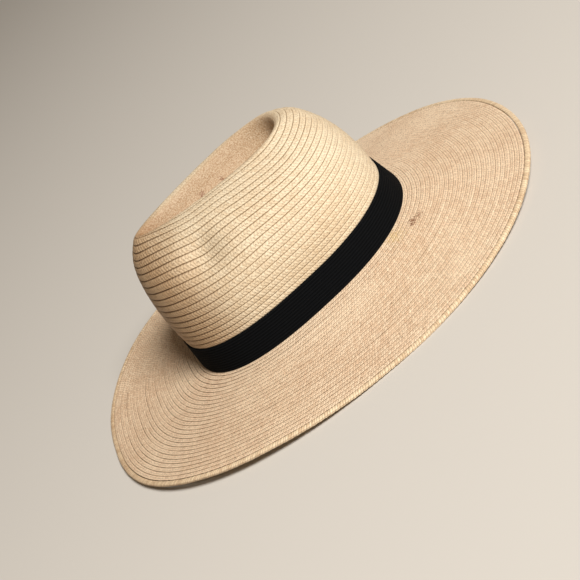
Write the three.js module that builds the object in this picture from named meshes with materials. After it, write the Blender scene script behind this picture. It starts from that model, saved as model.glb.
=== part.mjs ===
// Straw sun hat: a crown of sewn braid with a teardrop dent and two pinches, a wide waved brim with a
// doubled edge braid, and a plain black elastic band.
// Millimetres, +Z up. The front of the hat faces -Y and the wearer's left side is +X. The hat stands on
// its brim on the plane z = 0, and the origin lies on that plane under the middle of the brim.
// Angles run round the head: 0 is the front, 90 the wearer's left, 180 the back.

import * as THREE from 'three';
import { mergeVertices } from 'three/addons/utils/BufferGeometryUtils.js';

// Head oval, measured over the brim's collar at the break, where crown and brim meet
const HEAD_LENGTH = 197.5;
const FRONT_SHARE = 0.506; // of the head's length that lies in front of the hat's middle
const HEAD_WIDTH = 165.5;
const FRONT_FULLNESS = 2.6; // 2 is an ellipse, more is squarer
const BACK_FULLNESS = 2.3;

const HEAD_FRONT = HEAD_LENGTH * FRONT_SHARE;
const HEAD_BACK = HEAD_LENGTH - HEAD_FRONT;

// Crown
const CROWN_HEIGHT = 102; // highest point of the rim of the dent, above the break
const CROWN_WALL = 1.8;
const CROWN_TIP_LENGTH = 134; // rim of the dent, front to back
const CROWN_TIP_WIDTH = 53; // rim of the dent, side to side
const DENT_DEPTH = 29; // floor of the dent below the rim, at the middle
const CROWN_TIP_FULLNESS = 2.4;
const PINCH_DEPTH = 7.5; // pinch on each side of the crown's front
const PINCH_RADIUS = 15;
const PINCH_PUSH = { inward: 1, back: 0.25, down: 0.4 }; // direction it is pressed in

// Brim
const BRIM_FRONT = 95; // flat distance from the head oval to the outer edge
const BRIM_BACK = 96;
const BRIM_WALL = 1.6;
const BRIM_WAVE = 8.1; // highest point of the edge over the surface it rests on
const BRIM_BOW = 0.25; // how much faster the brim falls near the crown than at its edge
const BREAK_HEIGHT = 19.8; // break above the resting surface, at the middle of the hat
const LEAN = THREE.MathUtils.degToRad(2.4); // crown's forward lean when the hat rests on its brim
const COLLAR_HEIGHT = 7;

// Edge braid, doubled
const EDGE_WIDTH = 4;
const EDGE_WALL = 2.4;
const EDGE_ROUND = 0.7;

// Elastic band
const BAND_HEIGHT = 22;
const BAND_WALL = 1.1;
const BAND_TAPER = { front: 0.12, side: 0.2, back: 0.2 }; // inward lean for each millimetre of height

const GAP = 0.3; // clearance between pieces
const BAND_PLAY = 0.1; // how much more than GAP the crown stays inside the top of the band
const STEPS_ROUND = 72;
const BRIM_STEPS = 8;
const LEVEL_STEPS = 2; // steps between two crown sections
const SMALL_TURN = 0.01; // radians to each side, for the direction of the head oval
const SEAM = 0.001; // points closer than this become one

// Crown sections from the band up to the shoulder. Heights are shares of CROWN_HEIGHT, and front, back and
// side are shares of the head oval's reach that way.
const WALL_SECTIONS = [
  { name: 'low_wall', frontZ: 0.4, sideZ: 0.4, backZ: 0.4, front: 0.97, back: 0.957, side: 0.945 },
  { name: 'mid_wall', frontZ: 0.63, sideZ: 0.61, backZ: 0.61, front: 0.935, back: 0.923, side: 0.875 },
  { name: 'high_wall', frontZ: 0.82, sideZ: 0.8, backZ: 0.79, front: 0.87, back: 0.85, side: 0.73 },
  { name: 'shoulder', frontZ: 0.94, sideZ: 0.925, backZ: 0.92, front: 0.78, back: 0.757, side: 0.52 },
];
// The rim of the dent and what lies inside it. Front, back and side are shares of half the tip's length and
// width, bias widens the section towards the back, and the sinks are shares of DENT_DEPTH.
const TIP_SECTIONS = [
  { name: 'rim', front: 1.02, back: 0.9, side: 1, bias: 0.5, frontSink: -0.02, sideSink: 0.125, backSink: 0.14 },
  { name: 'wall', front: 0.93, back: 0.8, side: 0.7, bias: 0.5, frontSink: 0.25, sideSink: 0.62, backSink: 0.6 },
  { name: 'foot', front: 0.8, back: 0.7, side: 0.36, bias: 0.5, frontSink: 0.66, sideSink: 0.93, backSink: 0.88 },
  { name: 'floor', front: 0.66, back: 0.56, side: 0, bias: 0, frontSink: 0.88, sideSink: 1, backSink: 0.95 },
];

// Pinch on each side of the crown's front, as shares of the head's half length, half width and CROWN_HEIGHT
const PINCH = { forward: 0.41, side: 0.69, height: 0.775 };

// Height of the brim's edge over the resting surface, as shares of BRIM_WAVE, on both sides alike
const EDGE_WAVE = [
  { angle: 0, lift: 0 },
  { angle: 20, lift: 0.24 },
  { angle: 45, lift: 0.7 },
  { angle: 60, lift: 0.65 },
  { angle: 75, lift: 0.35 },
  { angle: 90, lift: 0.07 },
  { angle: 100, lift: 0 },
  { angle: 120, lift: 0.15 },
  { angle: 135, lift: 0.38 },
  { angle: 150, lift: 0.67 },
  { angle: 180, lift: 1 },
];

// Smooth curve through the rows of a table, with level tops and hollows at its highest and lowest rows
function smoothThrough(rows, key, value, at) {
  const slope = (i) => (rows[i + 1][value] - rows[i][value]) / (rows[i + 1][key] - rows[i][key]);
  const tangent = (i) => {
    if (i === 0 || i === rows.length - 1) return 0;
    const before = slope(i - 1);
    const after = slope(i);
    return before * after <= 0 ? 0 : (2 * before * after) / (before + after);
  };
  let i = 0;
  while (i < rows.length - 2 && at > rows[i + 1][key]) i += 1;
  const span = rows[i + 1][key] - rows[i][key];
  const t = (at - rows[i][key]) / span;
  const rise = t * t * (3 - 2 * t);
  const startPull = t * (1 - t) * (1 - t) * span * tangent(i);
  const endPull = t * t * (t - 1) * span * tangent(i + 1);
  return rows[i][value] * (1 - rise) + rows[i + 1][value] * rise + startPull + endPull;
}

const signedPower = (base, power) => Math.sign(base) * Math.abs(base) ** power;

// How full the plan ovals are at an angle. Roundness 0 is the head oval and 1 an ellipse.
function fullnessAt(angle, roundness) {
  const towardsFront = (1 + Math.cos(angle)) / 2;
  const head = BACK_FULLNESS + (FRONT_FULLNESS - BACK_FULLNESS) * towardsFront;
  return head + (2 - head) * roundness;
}

// Mixes the front, side and back value of a section by how far the angle turns to the front or the back
function byDirection(angle, front, side, back) {
  const c = Math.cos(angle);
  return side + ((c > 0 ? front : back) - side) * c * c;
}

// Point of a plan oval with its own front, back and side reach
function ovalPoint(angle, front, back, side, full, bias) {
  const along = -signedPower(Math.cos(angle), 2 / full);
  const across = signedPower(Math.sin(angle), 2 / full);
  return new THREE.Vector2(side * across * (1 + bias * along), along * (along < 0 ? front : back));
}

const headOval = (angle) => ovalPoint(angle, HEAD_FRONT, HEAD_BACK, HEAD_WIDTH / 2, fullnessAt(angle, 0), 0);

// Outward direction of the head oval, seen from above
function headNormal(angle) {
  const along = headOval(angle + SMALL_TURN).sub(headOval(angle - SMALL_TURN));
  return new THREE.Vector2(along.y, -along.x).normalize();
}

// Head oval moved outwards by offset
const headPoint = (angle, offset) => headOval(angle).addScaledVector(headNormal(angle), offset);

// From the crown's own frame, with the break at z = 0, to the hat as it rests
function leaned(x, y, z) {
  return new THREE.Vector3(
    x,
    y * Math.cos(LEAN) - z * Math.sin(LEAN),
    y * Math.sin(LEAN) + z * Math.cos(LEAN) + BREAK_HEIGHT,
  );
}

// Flat distance from the head oval to the brim's outer edge
const brimReach = (angle) => BRIM_FRONT + ((BRIM_BACK - BRIM_FRONT) * (1 - Math.cos(angle))) / 2;

// Height of the middle of the brim's sheet, at a flat distance out from the head oval
function brimMiddle(angle, out) {
  const start = headPoint(angle, 0);
  const breakZ = leaned(start.x, start.y, 0).z - BRIM_WALL / 2;
  const turn = Math.abs(THREE.MathUtils.radToDeg(angle));
  const edgeZ = BRIM_WAVE * smoothThrough(EDGE_WAVE, 'angle', 'lift', turn) + EDGE_WALL / 2;
  const share = out / (brimReach(angle) - EDGE_ROUND);
  const fall = share + BRIM_BOW * share * (1 - share);
  return breakZ + (edgeZ - breakZ) * fall;
}

// Point of the brim, above or below the middle of its sheet
function brimPoint(angle, out, above) {
  const p = headPoint(angle, out);
  return new THREE.Vector3(p.x, p.y, brimMiddle(angle, out) + above);
}

// Point of the collar, the band or the crown's foot in the crown's own frame, leaning in with its height
function standingPoint(angle, offset, height) {
  const taper = byDirection(angle, BAND_TAPER.front, BAND_TAPER.side, BAND_TAPER.back);
  const p = headPoint(angle, offset - taper * height);
  return new THREE.Vector3(p.x, p.y, height);
}

// The same point on the hat as it rests
function uprightPoint(angle, offset, height) {
  const p = standingPoint(angle, offset, height);
  return leaned(p.x, p.y, p.z);
}

// Closed mesh from rings of points. Each ring is one angle round the head. Where loops is true, the last
// point of a ring joins its first.
function meshFromRings(name, rings, loops, material) {
  const across = rings[0].length;
  const positions = rings.flat().flatMap((p) => [p.x, p.y, p.z]);
  const index = [];
  const spans = loops ? across : across - 1;
  for (let i = 0; i < rings.length; i += 1) {
    const next = (i + 1) % rings.length;
    for (let j = 0; j < spans; j += 1) {
      const k = (j + 1) % across;
      const corners = [i * across + j, i * across + k, next * across + k, next * across + j];
      index.push(corners[0], corners[1], corners[2], corners[0], corners[2], corners[3]);
    }
  }
  const raw = new THREE.BufferGeometry();
  raw.setAttribute('position', new THREE.Float32BufferAttribute(positions, 3));
  raw.setIndex(index);
  const geometry = dropFlatTriangles(mergeVertices(raw, SEAM));
  geometry.computeVertexNormals();
  const mesh = new THREE.Mesh(geometry, material);
  mesh.name = name;
  return mesh;
}

// Merging closes seams and leaves triangles with two corners in one place, which go
function dropFlatTriangles(geometry) {
  const kept = [];
  const { array } = geometry.index;
  for (let i = 0; i < array.length; i += 3) {
    const [a, b, c] = [array[i], array[i + 1], array[i + 2]];
    if (a !== b && b !== c && c !== a) kept.push(a, b, c);
  }
  geometry.setIndex(kept);
  return geometry;
}

const anglesRound = Array.from(
  { length: STEPS_ROUND },
  (_, i) => -Math.PI + ((i + 1) * 2 * Math.PI) / STEPS_ROUND,
);

// Outer surface of the crown at one angle: one point for each section, in the crown's own frame
function crownSectionPoints(angle) {
  const points = [
    standingPoint(angle, -BRIM_WALL - GAP, -BRIM_WALL),
    standingPoint(angle, -BRIM_WALL - GAP, COLLAR_HEIGHT),
    standingPoint(angle, -BAND_PLAY, BAND_HEIGHT + GAP),
  ];
  WALL_SECTIONS.forEach((s, i) => {
    const full = fullnessAt(angle, (i + 1.5) / (WALL_SECTIONS.length + 0.5));
    const p = ovalPoint(angle, HEAD_FRONT * s.front, HEAD_BACK * s.back, (HEAD_WIDTH / 2) * s.side, full, 0);
    const height = CROWN_HEIGHT * byDirection(angle, s.frontZ, s.sideZ, s.backZ);
    points.push(new THREE.Vector3(p.x, p.y, height));
  });
  for (const s of TIP_SECTIONS) {
    const half = CROWN_TIP_LENGTH / 2;
    const side = (CROWN_TIP_WIDTH / 2) * s.side;
    const p = ovalPoint(angle, half * s.front, half * s.back, side, CROWN_TIP_FULLNESS, s.bias);
    const sink = DENT_DEPTH * byDirection(angle, s.frontSink, s.sideSink, s.backSink);
    points.push(new THREE.Vector3(p.x, p.y, CROWN_HEIGHT - sink));
  }
  return points;
}

// Presses the two pinches into a point of the crown
function pinched(point) {
  const pressed = point.clone();
  for (const side of [-1, 1]) {
    const centre = new THREE.Vector3(
      side * PINCH.side * (HEAD_WIDTH / 2),
      -PINCH.forward * HEAD_FRONT,
      PINCH.height * CROWN_HEIGHT,
    );
    const depth = PINCH_DEPTH * Math.exp(-centre.distanceToSquared(point) / PINCH_RADIUS ** 2);
    const push = new THREE.Vector3(-side * PINCH_PUSH.inward, PINCH_PUSH.back, -PINCH_PUSH.down);
    pressed.addScaledVector(push.normalize(), depth);
  }
  return pressed;
}

// Crown: the outer surface through its sections, and an inner surface one wall inside it
function makeCrown(material) {
  const outer = anglesRound.map((angle) => {
    const sections = crownSectionPoints(angle);
    const curve = new THREE.CatmullRomCurve3(sections, false, 'centripetal');
    const ring = [];
    const steps = (sections.length - 1) * LEVEL_STEPS;
    for (let j = steps; j >= 0; j -= 1) ring.push(pinched(curve.getPoint(j / steps)));
    ring[0].x = 0;
    return ring;
  });
  const rings = outer.map((ring, i) => {
    const before = outer[(i + STEPS_ROUND - 1) % STEPS_ROUND];
    const after = outer[(i + 1) % STEPS_ROUND];
    const inner = ring.map((point, j) => {
      const around = after[j].clone().sub(before[j]);
      const down = ring[Math.min(j + 1, ring.length - 1)].clone().sub(ring[Math.max(j - 1, 0)]);
      const normal = down.cross(around).normalize();
      if (j === 0) normal.set(0, 0, 1);
      if (j === ring.length - 1) normal.setZ(0).normalize();
      return point.clone().addScaledVector(normal, -CROWN_WALL);
    });
    inner.reverse();
    return [...ring, ...inner].map((p) => leaned(p.x, p.y, p.z));
  });
  return meshFromRings('crown', rings, false, material);
}

// Brim: a waved sheet with a short collar that stands round the crown's foot
function makeBrim(material) {
  const rings = anglesRound.map((angle) => {
    const sheetReach = brimReach(angle) - EDGE_WIDTH - GAP;
    const top = [];
    const under = [];
    for (let j = 0; j <= BRIM_STEPS; j += 1) {
      const out = (sheetReach * j) / BRIM_STEPS;
      top.push(brimPoint(angle, out, BRIM_WALL / 2));
      if (j > 0) under.unshift(brimPoint(angle, out, -BRIM_WALL / 2));
    }
    return [
      uprightPoint(angle, 0, COLLAR_HEIGHT),
      ...top,
      ...under,
      uprightPoint(angle, -BRIM_WALL, -BRIM_WALL),
      uprightPoint(angle, -BRIM_WALL, COLLAR_HEIGHT),
    ];
  });
  return meshFromRings('brim', rings, true, material);
}

// Edge: the doubled braid round the rim, a rounded strip in line with the sheet
function makeEdge(material) {
  const face = EDGE_WALL / 2;
  const section = [
    { inside: EDGE_WIDTH, above: face },
    { inside: EDGE_ROUND, above: face },
    { inside: 0, above: face - EDGE_ROUND },
    { inside: 0, above: EDGE_ROUND - face },
    { inside: EDGE_ROUND, above: -face },
    { inside: EDGE_WIDTH, above: -face },
  ];
  const rings = anglesRound.map((angle) =>
    section.map((s) => brimPoint(angle, brimReach(angle) - s.inside, s.above)),
  );
  return meshFromRings('brim_edge', rings, true, material);
}

// Band: a plain elastic loop round the collar and the crown's foot
function makeBand(material) {
  const bottom = GAP;
  const top = BAND_HEIGHT + GAP;
  const middle = (bottom + top) / 2;
  const inner = GAP;
  const outer = GAP + BAND_WALL;
  const section = [
    { offset: inner, height: top },
    { offset: outer, height: top },
    { offset: outer, height: middle },
    { offset: outer, height: bottom },
    { offset: inner, height: bottom },
    { offset: inner, height: middle },
  ];
  const rings = anglesRound.map((angle) => section.map((s) => uprightPoint(angle, s.offset, s.height)));
  return meshFromRings('band', rings, true, material);
}

const crownStraw = new THREE.MeshStandardMaterial({ color: '#dcc29a', roughness: 0.8, metalness: 0 });
const brimStraw = new THREE.MeshStandardMaterial({ color: '#d6b890', roughness: 0.8, metalness: 0 });
const edgeStraw = new THREE.MeshStandardMaterial({ color: '#d9bd8c', roughness: 0.8, metalness: 0 });
const blackElastic = new THREE.MeshStandardMaterial({ color: '#14161a', roughness: 0.9, metalness: 0 });

const hat = new THREE.Group();
hat.name = 'straw_hat';
hat.add(makeCrown(crownStraw), makeBrim(brimStraw), makeEdge(edgeStraw), makeBand(blackElastic));

export default hat;
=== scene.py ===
import math

import bpy
import numpy as np
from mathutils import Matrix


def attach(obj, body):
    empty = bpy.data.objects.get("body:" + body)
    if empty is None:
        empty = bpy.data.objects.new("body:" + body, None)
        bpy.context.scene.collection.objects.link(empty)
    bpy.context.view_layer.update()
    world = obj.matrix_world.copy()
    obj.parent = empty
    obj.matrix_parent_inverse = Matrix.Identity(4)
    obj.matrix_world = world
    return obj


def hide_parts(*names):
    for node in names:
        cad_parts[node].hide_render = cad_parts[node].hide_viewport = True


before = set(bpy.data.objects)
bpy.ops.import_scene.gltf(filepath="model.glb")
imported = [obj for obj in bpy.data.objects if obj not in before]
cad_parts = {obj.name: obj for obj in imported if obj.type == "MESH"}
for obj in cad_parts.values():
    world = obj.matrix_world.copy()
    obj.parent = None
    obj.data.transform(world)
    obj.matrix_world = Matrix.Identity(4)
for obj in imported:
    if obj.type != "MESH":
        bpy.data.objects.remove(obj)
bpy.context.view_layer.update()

bl_info = {
    "name": "Sewn Straw Hat",
    "version": (1, 0, 0),
    "blender": (4, 5, 0),
    "location": "View3D > Sidebar > Straw Hat",
    "description": "Straw hat of sewn braid with a dented crown, a waved brim and a ribbed elastic band",
    "category": "Add Mesh",
}

MM = 0.001

# Lengths are in millimetres down to the threads of the elastic
# Head oval at the break, where crown and brim meet, measured over the brim's collar
HEAD_LENGTH = 197.5
FRONT_SHARE = 0.506  # of the head's length that lies in front of the hat's middle
HEAD_WIDTH = 165.5
FRONT_FULLNESS = 2.6  # 2 is an ellipse, more is squarer
BACK_FULLNESS = 2.3
HEAD_FRONT = HEAD_LENGTH * FRONT_SHARE
HEAD_BACK = HEAD_LENGTH - HEAD_FRONT

# Crown
CROWN_HEIGHT = 102.0
CROWN_WALL = 1.8
CROWN_TIP_LENGTH = 134.0
CROWN_TIP_WIDTH = 53.0
DENT_DEPTH = 29.0
CROWN_TIP_FULLNESS = 2.4
PINCH_DEPTH = 7.5
PINCH_RADIUS = 15.0
PINCH_PUSH = {"inward": 1.0, "back": 0.25, "down": 0.4}  # direction it is pressed in
PINCH = {"forward": 0.41, "side": 0.69, "height": 0.775}  # shares of half the head and of the height

# Brim and its doubled edge
BRIM_FRONT = 95.0
BRIM_BACK = 96.0
BRIM_WALL = 1.6
BRIM_WAVE = 8.1  # highest lift of the edge off the surface that the hat rests on
BRIM_BOW = 0.25  # 0 falls evenly, more is steeper by the crown and flatter at the edge
BREAK_HEIGHT = 19.8
LEAN = math.radians(2.4)  # crown's forward lean when the hat rests on its brim
COLLAR_HEIGHT = 7.0
EDGE_WIDTH = 4.0
EDGE_WALL = 2.4
EDGE_ROUND = 0.7

# Band
BAND_HEIGHT = 22.0
BAND_WALL = 1.1
BAND_TAPER = {"front": 0.12, "side": 0.2, "back": 0.2}  # inward lean for each millimetre of height
BAND_PLAY = 0.1  # how far the crown at the top of the band is inside the tapered head oval
GAP = 0.3  # clearance between pieces

# Rows of braid
STANDING_SECTIONS = 3  # crown sections below its wall sections
CURVE_STEPS = 24  # steps between two crown sections, to count rows along
RIM_GROWTH = 0.2  # how much wider the crown's rows are at the rim of the dent
FRONT_ROWS = 1.7  # rows of the crown that pass inside the rim of the dent at its front tip
HIGHEST_ROW = 200.0  # more rows than any piece has, to count the brim's rows the other way

# Crown sections, as shares of the head oval's reach and of the crown's height
WALL_SECTIONS = [
    {"front_z": 0.4, "side_z": 0.4, "back_z": 0.4, "front": 0.97, "back": 0.957, "side": 0.945},
    {"front_z": 0.63, "side_z": 0.61, "back_z": 0.61, "front": 0.935, "back": 0.923, "side": 0.875},
    {"front_z": 0.82, "side_z": 0.8, "back_z": 0.79, "front": 0.87, "back": 0.85, "side": 0.73},
    {"front_z": 0.94, "side_z": 0.925, "back_z": 0.92, "front": 0.78, "back": 0.757, "side": 0.52},
]
# Rim and inside of the dent, as shares of the tip's half sizes and of the dent's depth
TIP_SECTIONS = [
    {"front": 1.02, "back": 0.9, "side": 1.0, "bias": 0.5, "front_z": -0.02, "side_z": 0.125, "back_z": 0.14},
    {"front": 0.93, "back": 0.8, "side": 0.7, "bias": 0.5, "front_z": 0.25, "side_z": 0.62, "back_z": 0.6},
    {"front": 0.8, "back": 0.7, "side": 0.36, "bias": 0.5, "front_z": 0.66, "side_z": 0.93, "back_z": 0.88},
    {"front": 0.66, "back": 0.56, "side": 0.0, "bias": 0.0, "front_z": 0.88, "side_z": 1.0, "back_z": 0.95},
]
# Lift of the brim's edge round the hat, as shares of the wave
EDGE_WAVE = {
    "angle": [0, 20, 45, 60, 75, 90, 100, 120, 135, 150, 180],
    "lift": [0, 0.24, 0.7, 0.65, 0.35, 0.07, 0, 0.15, 0.38, 0.67, 1],
}
# Relief over one row of braid, as shares of the row and of the lap. The crown's rows count upwards.
CROWN_RELIEF = {"at": [0.0, 0.09, 0.4, 0.75], "rise": [-0.45, 0.5, 0.5, 0.05]}
# The brim's rows count outwards, and each laps over the next one
BRIM_RELIEF = {"at": [0.0, 0.3, 0.65, 0.92], "rise": [-0.5, -0.2, 0.2, 0.5]}
UNDER_RELIEF = {"at": [0.0, 0.8], "rise": [0.5, -0.5]}
# Unevenness of the handwork: its size, its waves round the hat and the seed of its random draws.
# Drifts are shares of a row, bumps are shares of a lap or of the edge, ripple and slack are millimetres.
CROWN_DRIFT = {"size": 0.07, "waves": (2, 5, 9), "seed": 11}
CROWN_BUMPS = {"size": 0.35, "waves": (7, 13, 29), "seed": 5}
BRIM_DRIFT = {"size": 0.08, "waves": (3, 7, 12), "seed": 21}
BRIM_BUMPS = {"size": 0.4, "waves": (9, 17, 31), "seed": 3}
BRIM_RIPPLE = {"size": 0.25, "waves": (4, 6, 9), "seed": 8}
EDGE_BUMPS = {"size": 0.05, "waves": (23, 41, 67), "seed": 31}
BAND_SLACK = {"size": 0.12, "waves": (3, 5, 8), "seed": 17}
SLACK_INWARDS = 0.1

# Elastic: spacing of its threads along the band and across it
THREAD_PITCH = 0.9
WEFT_PITCH = 0.5

# Stage, in metres
FLOOR_SIZE = 24
KEY_SIZE = 1.6
KEY_COLOUR = (1.0, 0.97, 0.92)
SKY_COLOUR = (1.0, 0.8, 0.58, 1.0)


# Shape of the hat
def signed_power(base, power):
    return np.sign(base) * np.abs(base) ** power


def fullness(turn, roundness):
    head = BACK_FULLNESS + (FRONT_FULLNESS - BACK_FULLNESS) * (1 + np.cos(turn)) / 2
    return head + (2 - head) * roundness


def by_direction(turn, front, side, back):
    facing = np.cos(turn)
    return side + (np.where(facing > 0, front, back) - side) * facing**2


def plan_oval(turn, front, back, side, full, bias):
    along = -signed_power(np.cos(turn), 2 / full)
    across = signed_power(np.sin(turn), 2 / full)
    return side * across * (1 + bias * along), along * np.where(along < 0, front, back)


def head_oval(turn):
    return plan_oval(turn, HEAD_FRONT, HEAD_BACK, HEAD_WIDTH / 2, fullness(turn, 0), 0)


def head_point(turn, offset):
    small = 0.01
    x, y = head_oval(turn)
    x_after, y_after = head_oval(turn + small)
    x_before, y_before = head_oval(turn - small)
    dx, dy = x_after - x_before, y_after - y_before
    size = np.hypot(dx, dy)
    return x + offset * dy / size, y - offset * dx / size


def leaned(points):
    x, y, z = points[..., 0], points[..., 1], points[..., 2]
    ahead = y * math.cos(LEAN) - z * math.sin(LEAN)
    high = y * math.sin(LEAN) + z * math.cos(LEAN) + BREAK_HEIGHT
    return np.stack([x, ahead, high], axis=-1)


def standing_point(turn, offset, height):
    taper = by_direction(turn, BAND_TAPER["front"], BAND_TAPER["side"], BAND_TAPER["back"])
    x, y = head_point(turn, offset - taper * height)
    return np.stack([x, y, np.full_like(x, height)], axis=-1)


def smooth_through(angle, rows, lifts):
    rows, lifts = np.array(rows, float), np.array(lifts, float)
    slope = np.diff(lifts) / np.diff(rows)
    before, after = slope[:-1], slope[1:]
    total = np.where(before * after > 0, before + after, 1.0)
    inner = np.where(before * after > 0, 2 * before * after / total, 0.0)
    pull = np.concatenate([[0.0], inner, [0.0]])
    i = np.clip(np.searchsorted(rows, angle, side="left") - 1, 0, len(rows) - 2)
    span = rows[i + 1] - rows[i]
    t = (angle - rows[i]) / span
    rise = t * t * (3 - 2 * t)
    ends = t * (1 - t) ** 2 * span * pull[i] + t * t * (t - 1) * span * pull[i + 1]
    return lifts[i] * (1 - rise) + lifts[i + 1] * rise + ends


def brim_reach(turn):
    return BRIM_FRONT + (BRIM_BACK - BRIM_FRONT) * (1 - np.cos(turn)) / 2


def brim_point(turn, out, above):
    x0, y0 = head_oval(turn)
    start = leaned(np.stack([x0, y0, np.zeros_like(x0)], axis=-1))[..., 2] - BRIM_WALL / 2
    angle = np.abs(np.degrees(turn))
    edge = BRIM_WAVE * smooth_through(angle, EDGE_WAVE["angle"], EDGE_WAVE["lift"]) + EDGE_WALL / 2
    share = out / (brim_reach(turn) - EDGE_ROUND)
    fall = share + BRIM_BOW * share * (1 - share)
    x, y = head_point(turn, out)
    return np.stack([x, y, start + (edge - start) * fall + above], axis=-1)


def turns_round(steps):
    """Angles with even steps along the head oval, alike on both sides, from back to back."""
    fine = np.linspace(0, math.pi, 4001)
    x, y = head_oval(fine)
    arc = np.concatenate([[0], np.cumsum(np.hypot(np.diff(x), np.diff(y)))])
    half = np.interp(np.linspace(0, arc[-1], steps // 2 + 1), arc, fine)
    half[-1] = math.pi
    return np.concatenate([-half[:0:-1], half])


def crown_sections(turn):
    points = [
        standing_point(turn, -BRIM_WALL - GAP, -BRIM_WALL),
        standing_point(turn, -BRIM_WALL - GAP, COLLAR_HEIGHT),
        standing_point(turn, -BAND_PLAY, BAND_HEIGHT + GAP),
    ]
    for i, s in enumerate(WALL_SECTIONS):
        full = fullness(turn, (i + 1.5) / (len(WALL_SECTIONS) + 0.5))
        x, y = plan_oval(
            turn, HEAD_FRONT * s["front"], HEAD_BACK * s["back"], HEAD_WIDTH / 2 * s["side"], full, 0
        )
        z = CROWN_HEIGHT * by_direction(turn, s["front_z"], s["side_z"], s["back_z"])
        points.append(np.stack([x, y, z], axis=-1))
    half = CROWN_TIP_LENGTH / 2
    for s in TIP_SECTIONS:
        side = CROWN_TIP_WIDTH / 2 * s["side"]
        x, y = plan_oval(turn, half * s["front"], half * s["back"], side, CROWN_TIP_FULLNESS, s["bias"])
        z = CROWN_HEIGHT - DENT_DEPTH * by_direction(turn, s["front_z"], s["side_z"], s["back_z"])
        points.append(np.stack([x, y, z], axis=-1))
    return points


def curve_through(points, steps):
    """Centripetal curve through the sections, with that many steps between two of them."""
    knots = [2 * points[0] - points[1], *points, 2 * points[-1] - points[-2]]
    out = []
    for a, b, c, d in zip(knots[:-3], knots[1:-2], knots[2:-1], knots[3:]):
        before = np.sqrt(np.linalg.norm(b - a, axis=-1, keepdims=True))
        middle = np.sqrt(np.linalg.norm(c - b, axis=-1, keepdims=True))
        after = np.sqrt(np.linalg.norm(d - c, axis=-1, keepdims=True))
        start = (b - a) / before - (c - a) / (before + middle) + (c - b) / middle
        end = (c - b) / middle - (d - b) / (middle + after) + (d - c) / after
        start, end = start * middle, end * middle
        for k in range(steps):
            t = k / steps
            bend = (-3 * b + 3 * c - 2 * start - end) * t * t
            out.append(b + start * t + bend + (2 * b - 2 * c + start + end) * t**3)
    out.append(points[-1])
    return np.array(out)


def pinched(points):
    pressed = points.copy()
    for side in (-1, 1):
        across = side * PINCH["side"] * HEAD_WIDTH / 2
        centre = np.array([across, -PINCH["forward"] * HEAD_FRONT, PINCH["height"] * CROWN_HEIGHT])
        push = np.array([-side * PINCH_PUSH["inward"], PINCH_PUSH["back"], -PINCH_PUSH["down"]])
        push /= np.linalg.norm(push)
        near = np.exp(-((points - centre) ** 2).sum(-1) / PINCH_RADIUS**2)
        pressed += PINCH_DEPTH * near[..., None] * push
    return pressed


def normals_of(points):
    """Outward directions of a sheet of points [ring, turn], whose first and last turns meet."""
    around = np.empty_like(points)
    around[:, 1:-1] = points[:, 2:] - points[:, :-2]
    around[:, 0] = points[:, 1] - points[:, -2]
    around[:, -1] = around[:, 0]
    along = np.gradient(points, axis=0)
    normal = np.cross(around, along)
    return normal / np.maximum(np.linalg.norm(normal, axis=-1, keepdims=True), 1e-9)


def smooth_step(x, low, high):
    t = np.clip((x - low) / (high - low), 0, 1)
    return t * t * (3 - 2 * t)


def row_marks(count, at):
    """Row numbers of the points that shape the relief of that many rows."""
    marks = [k + f for k in range(count) for f in at]
    return np.array([*marks, count])


def wander(turn, rows, uneven):
    """Slow wandering of each row round the hat, up and down by about the size of the unevenness."""
    waves = uneven["waves"]
    rng = np.random.default_rng(uneven["seed"])
    last = int(np.ceil(rows.max())) + 2
    phase = rng.uniform(0, 2 * math.pi, (len(waves), last))
    size = rng.uniform(0.4, 1, (len(waves), last))
    k = np.clip(np.floor(rows + 1e-6).astype(int), 0, last - 1)
    total = np.zeros((len(rows), len(turn)))
    for w, wave in enumerate(waves):
        total += size[w, k][:, None] * np.sin(wave * turn[None, :] + phase[w, k][:, None])
    return uneven["size"] * (total / len(waves))


def arc_from_front(points):
    """Distance along each ring from the front of the hat, less than 0 on the wearer's right."""
    steps = np.linalg.norm(np.diff(points, axis=1), axis=-1)
    arc = np.concatenate([np.zeros((len(points), 1)), np.cumsum(steps, axis=1)], axis=1)
    return arc - arc[:, [arc.shape[1] // 2]]


# Meshes
def clear_selection():
    bpy.ops.object.select_all(action="DESELECT")


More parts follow.
